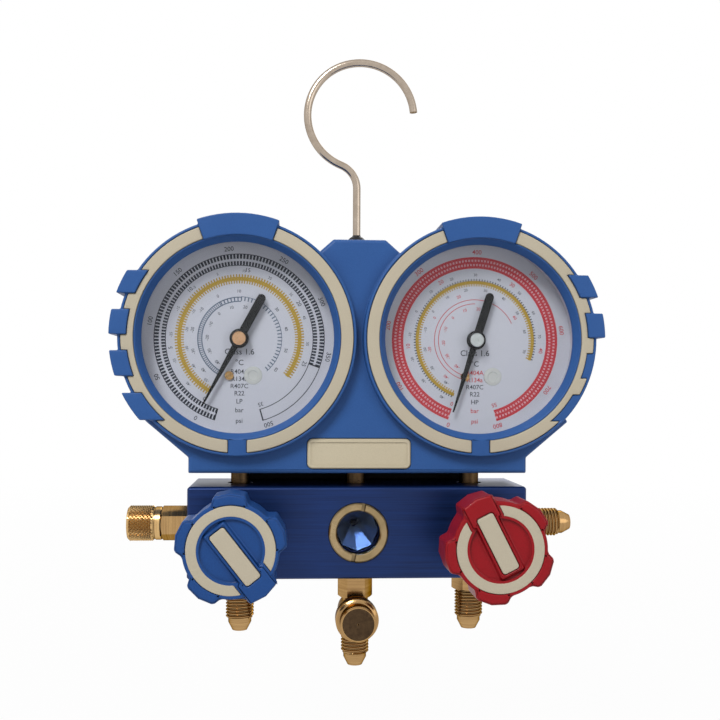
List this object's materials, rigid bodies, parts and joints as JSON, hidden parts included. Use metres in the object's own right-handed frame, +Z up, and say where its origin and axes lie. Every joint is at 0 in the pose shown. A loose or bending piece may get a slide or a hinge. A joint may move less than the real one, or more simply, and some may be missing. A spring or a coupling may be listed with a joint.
{
  "type": "refrigerant manifold gauge",
  "caption": "Refrigeration service manifold: two dial gauges in a moulded housing with a hook, over a valve block with handwheels, sight glass and flare ports.",
  "frame": {"origin": "the point inside the top of the hook that rests on a nail, on the hook's stem axis", "axes": "+Z up along the hook's stem, -Y towards the gauges' faces, +X to the viewer's right"},
  "size_m": [0.1874, 0.0772, 0.2429],
  "materials": {
    "housing_blue": "satin moulded plastic",
    "luminous_cream": "matt luminous plastic",
    "hook_steel": "bright plated wire",
    "black_plastic": "satin",
    "zinc_steel": "zinc plated",
    "black_case": "satin black",
    "lens_clear": "clear moulded lens",
    "dial_white": "printed matt",
    "pointer_black": "matt black",
    "brass": "machined",
    "block_blue": "blue anodised, brushed",
    "sight_glass": "clear",
    "seal_rubber": "matt",
    "knob_blue": "satin moulded plastic",
    "knob_red": "satin moulded plastic"
  },
  "bodies": {
    "manifold": {"housing_front": "housing_blue", "housing_rear": "housing_blue", "housing_screws": "zinc_steel", "left_ring_inlay": "luminous_cream", "right_ring_inlay": "luminous_cream", "name_plate": "luminous_cream", "hook_bush": "black_plastic", "centre_spacer": "brass", "left_gauge_case": "black_case", "left_gauge_lens": "lens_clear", "left_gauge_dial": "dial_white", "left_movement_frame": "brass", "left_bourdon_tube": "brass", "left_gauge_socket": "brass", "left_valve_bonnet": "brass", "right_gauge_case": "black_case", "right_gauge_lens": "lens_clear", "right_gauge_dial": "dial_white", "right_movement_frame": "brass", "right_bourdon_tube": "brass", "right_gauge_socket": "brass", "right_valve_bonnet": "brass", "dial_screws": "brass", "lens_plugs": "lens_clear", "manifold_block": "block_blue", "sight_ring": "brass", "sight_lens": "sight_glass", "sight_seal": "seal_rubber", "port_fittings": "brass", "centre_tee": "brass", "valve_core": "brass", "left_park_fitting": "brass", "right_park_fitting": "brass"},
    "hook": {"hook": "hook_steel", "hook_nut": "zinc_steel"},
    "left_park_cap": {"left_park_cap": "brass"},
    "centre_cap": {"centre_cap": "brass"},
    "valve_core_pin": {"valve_core_pin": "brass"},
    "left_pointer": {"left_gauge_pointer": "pointer_black", "left_pointer_pinion": "brass"},
    "left_sector": {"left_sector_gear": "brass"},
    "left_link": {"left_gauge_link": "brass"},
    "left_piston": {"left_valve_piston": "brass", "left_valve_seals": "seal_rubber"},
    "left_wheel": {"left_handwheel": "knob_blue", "left_handwheel_ring": "luminous_cream", "left_handwheel_label": "luminous_cream", "left_handwheel_screw": "zinc_steel", "left_valve_spindle": "brass"},
    "right_pointer": {"right_gauge_pointer": "pointer_black", "right_pointer_pinion": "brass"},
    "right_sector": {"right_sector_gear": "brass"},
    "right_link": {"right_gauge_link": "brass"},
    "right_piston": {"right_valve_piston": "brass", "right_valve_seals": "seal_rubber"},
    "right_wheel": {"right_handwheel": "knob_red", "right_handwheel_ring": "luminous_cream", "right_handwheel_label": "luminous_cream", "right_handwheel_screw": "zinc_steel", "right_valve_spindle": "brass"}
  },
  "joints": [
    {"name": "hook_swivel", "type": "hinge", "parent": "manifold", "child": "hook", "pos_m": [0, 0, -0.07254], "axis": [0, 0, 1], "continuous": true},
    {"name": "left_sector_turn", "type": "hinge", "parent": "manifold", "child": "left_sector", "pos_m": [-0.046, 0, -0.12934], "axis": [0, -1, 0], "range_deg": [-1.48, 39.5], "stiffness_Nm_per_rad": 0.05},
    {"name": "left_pointer_turn", "type": "hinge", "parent": "manifold", "child": "left_pointer", "pos_m": [-0.046, 0, -0.11044], "axis": [0, 1, 0], "range_deg": [-12.2, 316.4]},
    {"name": "left_link_slide", "type": "slide", "parent": "manifold", "child": "left_link", "axis": [1, 0, 0], "range_m": [-0.00013, 0.00292]},
    {"name": "right_sector_turn", "type": "hinge", "parent": "manifold", "child": "right_sector", "pos_m": [0.046, 0, -0.12934], "axis": [0, -1, 0], "range_deg": [0, 40.88], "stiffness_Nm_per_rad": 0.05},
    {"name": "right_pointer_turn", "type": "hinge", "parent": "manifold", "child": "right_pointer", "pos_m": [0.046, 0, -0.11044], "axis": [0, 1, 0], "range_deg": [0, 327.4]},
    {"name": "right_link_slide", "type": "slide", "parent": "manifold", "child": "right_link", "axis": [1, 0, 0], "range_m": [0, 0.00302]},
    {"name": "left_valve_travel", "type": "slide", "parent": "manifold", "child": "left_piston", "axis": [0, 1, 0], "range_m": [-0.00312, 0]},
    {"name": "left_valve_turn", "type": "hinge", "parent": "left_piston", "child": "left_wheel", "pos_m": [-0.046, -0.059, -0.18454], "axis": [0, 1, 0], "range_deg": [-900, 0]},
    {"name": "right_valve_travel", "type": "slide", "parent": "manifold", "child": "right_piston", "axis": [0, 1, 0], "range_m": [-0.00312, 0]},
    {"name": "right_valve_turn", "type": "hinge", "parent": "right_piston", "child": "right_wheel", "pos_m": [0.046, -0.059, -0.18454], "axis": [0, 1, 0], "range_deg": [-900, 0]},
    {"name": "park_cap_off", "type": "slide", "parent": "manifold", "child": "left_park_cap", "axis": [-1, 0, 0], "range_m": [0, 0.022]},
    {"name": "centre_cap_off", "type": "slide", "parent": "manifold", "child": "centre_cap", "axis": [0, -1, 0], "range_m": [0, 0.018]},
    {"name": "core_pin_press", "type": "slide", "parent": "manifold", "child": "valve_core_pin", "axis": [0, 1, 0], "range_m": [0, 0.001], "stiffness_N_per_m": 300}
  ],
  "couplings": [
    {"joint": "left_pointer_turn", "follows": "left_sector_turn", "ratio": 8},
    {"joint": "left_link_slide", "follows": "left_sector_turn", "m_per_rad": 0.0042},
    {"joint": "right_pointer_turn", "follows": "right_sector_turn", "ratio": 8},
    {"joint": "right_link_slide", "follows": "right_sector_turn", "m_per_rad": 0.0042},
    {"joint": "left_valve_turn", "follows": "left_valve_travel", "rad_per_m": 5026.5},
    {"joint": "right_valve_turn", "follows": "right_valve_travel", "rad_per_m": 5026.5}
  ]
}
